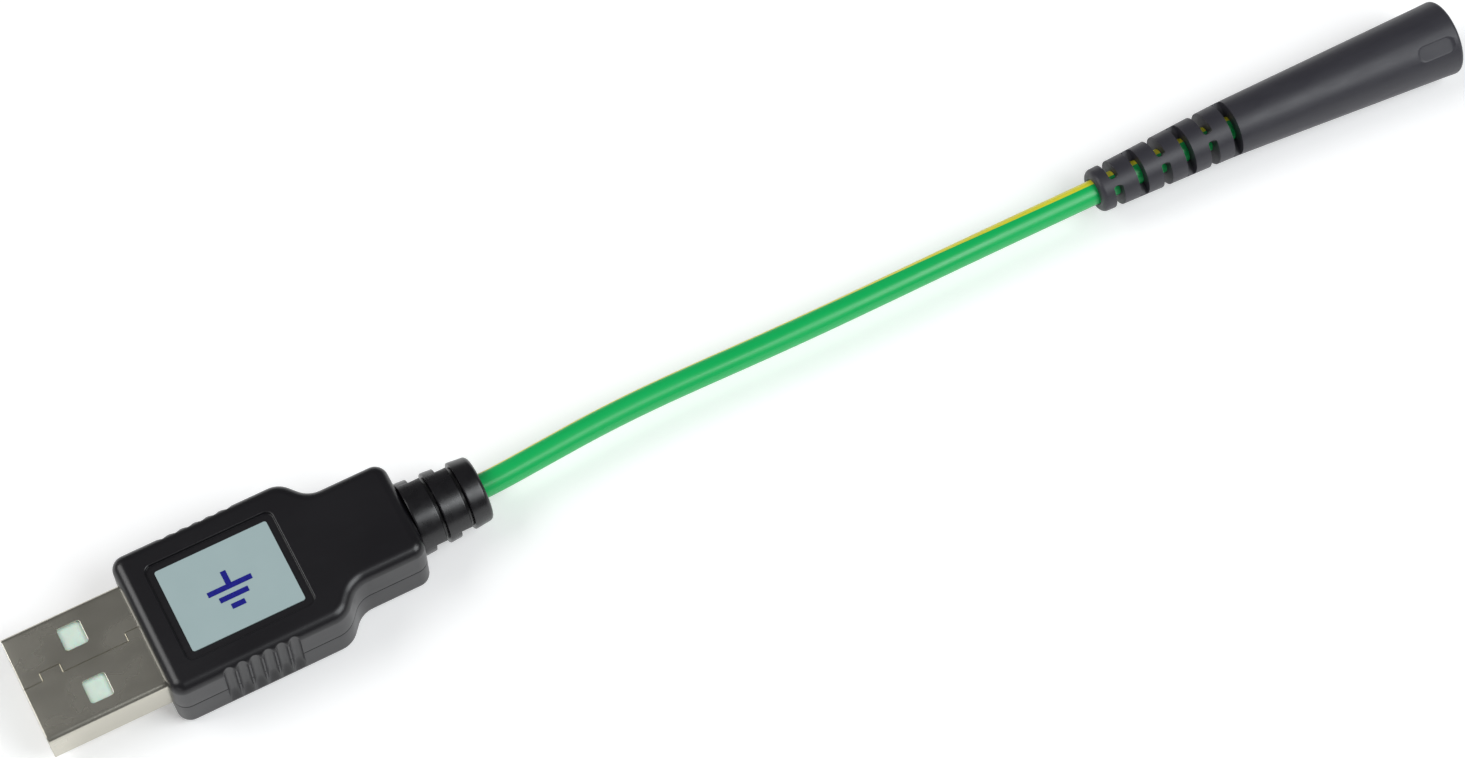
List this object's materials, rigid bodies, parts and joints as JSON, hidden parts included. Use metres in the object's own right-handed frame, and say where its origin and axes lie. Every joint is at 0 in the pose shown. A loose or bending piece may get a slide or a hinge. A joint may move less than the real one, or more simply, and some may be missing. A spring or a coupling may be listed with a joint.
{
  "type": "usb grounding lead for an esd wrist strap",
  "caption": "Short earth lead that grounds an ESD wrist strap through a USB-A port, with a resistor in the plug and a shrouded banana jack.",
  "frame": {"origin": "centre of the USB plug's front opening", "axes": "+X along the lead from the plug towards the jack, +Z out of the labelled face, +Y to the side"},
  "size_m": [0.1601, 0.016, 0.0084],
  "materials": {
    "nickel": "satin nickel plate",
    "white_plastic": "natural white",
    "gold": "gold plate",
    "black_housing": "semi gloss moulded",
    "label": "printed foil",
    "mark": "printed ink",
    "resistor": "lacquered",
    "tin": "tin plate",
    "heat_shrink": "satin",
    "plug_boot": "semi gloss moulded",
    "earth_insulation": "green with a yellow stripe",
    "copper": "bare strands",
    "jack_boot": "fine matt moulded",
    "socket": "nickel plated"
  },
  "bodies": {
    "plug": {"usb_shell": "nickel", "usb_insulator": "white_plastic", "usb_contacts": "gold", "housing_upper": "black_housing", "housing_lower": "black_housing", "label_plate": "label", "label_mark": "mark", "series_resistor": "resistor", "resistor_leads": "tin", "heat_shrink": "heat_shrink", "solder_joint": "tin", "crimp_sleeve": "tin", "plug_boot": "plug_boot", "wire_insulation_00": "earth_insulation", "wire_core_00": "copper"},
    "wire_01": {"wire_insulation_01": "earth_insulation", "wire_core_01": "copper"},
    "wire_02": {"wire_insulation_02": "earth_insulation", "wire_core_02": "copper"},
    "wire_03": {"wire_insulation_03": "earth_insulation", "wire_core_03": "copper"},
    "wire_04": {"wire_insulation_04": "earth_insulation", "wire_core_04": "copper"},
    "wire_05": {"wire_insulation_05": "earth_insulation", "wire_core_05": "copper"},
    "wire_06": {"wire_insulation_06": "earth_insulation", "wire_core_06": "copper"},
    "wire_07": {"wire_insulation_07": "earth_insulation", "wire_core_07": "copper"},
    "wire_08": {"wire_insulation_08": "earth_insulation", "wire_core_08": "copper"},
    "wire_09": {"wire_insulation_09": "earth_insulation", "wire_core_09": "copper"},
    "wire_10": {"wire_insulation_10": "earth_insulation", "wire_core_10": "copper"},
    "wire_11": {"wire_insulation_11": "earth_insulation", "wire_core_11": "copper"},
    "wire_12": {"wire_insulation_12": "earth_insulation", "wire_core_12": "copper", "jack_boot_tip": "jack_boot"},
    "slotted_01": {"jack_boot_ring_01": "jack_boot", "wire_insulation_13": "earth_insulation", "wire_core_13": "copper"},
    "slotted_02": {"jack_boot_ring_02": "jack_boot", "wire_insulation_14": "earth_insulation", "wire_core_14": "copper"},
    "slotted_03": {"jack_boot_ring_03": "jack_boot", "wire_insulation_15": "earth_insulation", "wire_core_15": "copper"},
    "slotted_04": {"jack_boot_ring_04": "jack_boot", "wire_insulation_16": "earth_insulation", "wire_core_16": "copper"},
    "slotted_05": {"jack_boot_ring_05": "jack_boot", "wire_insulation_17": "earth_insulation", "wire_core_17": "copper"},
    "jack": {"jack_boot_body": "jack_boot", "jack_socket": "socket", "wire_insulation_18": "earth_insulation", "wire_core_18": "copper"}
  },
  "joints": [
    {"name": "wire_side_01", "type": "hinge", "parent": "plug", "child": "wire_01", "pos_m": [0.04965, 0, 0], "axis": [0, 0, 1], "range_deg": [-15, 15]},
    {"name": "wire_up_01", "type": "hinge", "parent": "wire_01", "child": "wire_02", "pos_m": [0.05553, 0.00044, 0], "axis": [0.0724, -0.9974, 0], "range_deg": [-15, 15]},
    {"name": "wire_side_02", "type": "hinge", "parent": "wire_02", "child": "wire_03", "pos_m": [0.06141, 0.00087, 0], "axis": [0, 0, 1], "range_deg": [-15, 15]},
    {"name": "wire_up_02", "type": "hinge", "parent": "wire_03", "child": "wire_04", "pos_m": [0.06729, 0.00102, 0], "axis": [-0.014, -0.9999, 0], "range_deg": [-15, 15]},
    {"name": "wire_side_03", "type": "hinge", "parent": "wire_04", "child": "wire_05", "pos_m": [0.07317, 0.00093, 0], "axis": [0, 0, 1], "range_deg": [-15, 15]},
    {"name": "wire_up_03", "type": "hinge", "parent": "wire_05", "child": "wire_06", "pos_m": [0.07905, 0.00079, 0], "axis": [-0.0142, -0.9999, 0], "range_deg": [-15, 15]},
    {"name": "wire_side_04", "type": "hinge", "parent": "wire_06", "child": "wire_07", "pos_m": [0.08493, 0.00071, 0], "axis": [0, 0, 1], "range_deg": [-15, 15]},
    {"name": "wire_up_04", "type": "hinge", "parent": "wire_07", "child": "wire_08", "pos_m": [0.0908, 0.00071, 0], "axis": [0.007, -1, 0], "range_deg": [-15, 15]},
    {"name": "wire_side_05", "type": "hinge", "parent": "wire_08", "child": "wire_09", "pos_m": [0.09668, 0.00075, 0], "axis": [0, 0, 1], "range_deg": [-15, 15]},
    {"name": "wire_up_05", "type": "hinge", "parent": "wire_09", "child": "wire_10", "pos_m": [0.10256, 0.00078, 0], "axis": [0.0017, -1, 0], "range_deg": [-15, 15]},
    {"name": "wire_side_06", "type": "hinge", "parent": "wire_10", "child": "wire_11", "pos_m": [0.10844, 0.00079, 0], "axis": [0, 0, 1], "range_deg": [-15, 15]},
    {"name": "wire_up_06", "type": "hinge", "parent": "wire_11", "child": "wire_12", "pos_m": [0.11432, 0.00078, 0], "axis": [-0.0021, -1, 0], "range_deg": [-15, 15]},
    {"name": "strain_relief_side_01", "type": "hinge", "parent": "wire_12", "child": "slotted_01", "pos_m": [0.1202, 0.00077, 0], "axis": [0.0026, -0.4226, 0.9063], "range_deg": [-12, 12]},
    {"name": "strain_relief_up_01", "type": "hinge", "parent": "slotted_01", "child": "slotted_02", "pos_m": [0.12295, 0.00079, 0], "axis": [0.0055, -0.9063, -0.4226], "range_deg": [-12, 12]},
    {"name": "strain_relief_side_02", "type": "hinge", "parent": "slotted_02", "child": "slotted_03", "pos_m": [0.1257, 0.0008, 0], "axis": [0.0026, -0.4226, 0.9063], "range_deg": [-12, 12]},
    {"name": "strain_relief_up_02", "type": "hinge", "parent": "slotted_03", "child": "slotted_04", "pos_m": [0.12845, 0.00082, 0], "axis": [0.0055, -0.9063, -0.4226], "range_deg": [-12, 12]},
    {"name": "strain_relief_side_03", "type": "hinge", "parent": "slotted_04", "child": "slotted_05", "pos_m": [0.1312, 0.00084, 0], "axis": [0.0026, -0.4226, 0.9063], "range_deg": [-12, 12]},
    {"name": "strain_relief_up_03", "type": "hinge", "parent": "slotted_05", "child": "jack", "pos_m": [0.13395, 0.00085, 0], "axis": [-0.0332, -0.9057, -0.4226], "range_deg": [-12, 12]}
  ],
  "couplings": [
    {"joint": "wire_side_02", "follows": "wire_side_01", "ratio": 1},
    {"joint": "wire_up_02", "follows": "wire_up_01", "ratio": 1},
    {"joint": "wire_side_03", "follows": "wire_side_01", "ratio": 1},
    {"joint": "wire_up_03", "follows": "wire_up_01", "ratio": 1},
    {"joint": "wire_side_04", "follows": "wire_side_01", "ratio": 1},
    {"joint": "wire_up_04", "follows": "wire_up_01", "ratio": 1},
    {"joint": "wire_side_05", "follows": "wire_side_01", "ratio": 1},
    {"joint": "wire_up_05", "follows": "wire_up_01", "ratio": 1},
    {"joint": "wire_side_06", "follows": "wire_side_01", "ratio": 1},
    {"joint": "wire_up_06", "follows": "wire_up_01", "ratio": 1},
    {"joint": "strain_relief_side_02", "follows": "strain_relief_side_01", "ratio": 1},
    {"joint": "strain_relief_up_02", "follows": "strain_relief_up_01", "ratio": 1},
    {"joint": "strain_relief_side_03", "follows": "strain_relief_side_01", "ratio": 1},
    {"joint": "strain_relief_up_03", "follows": "strain_relief_up_01", "ratio": 1}
  ]
}
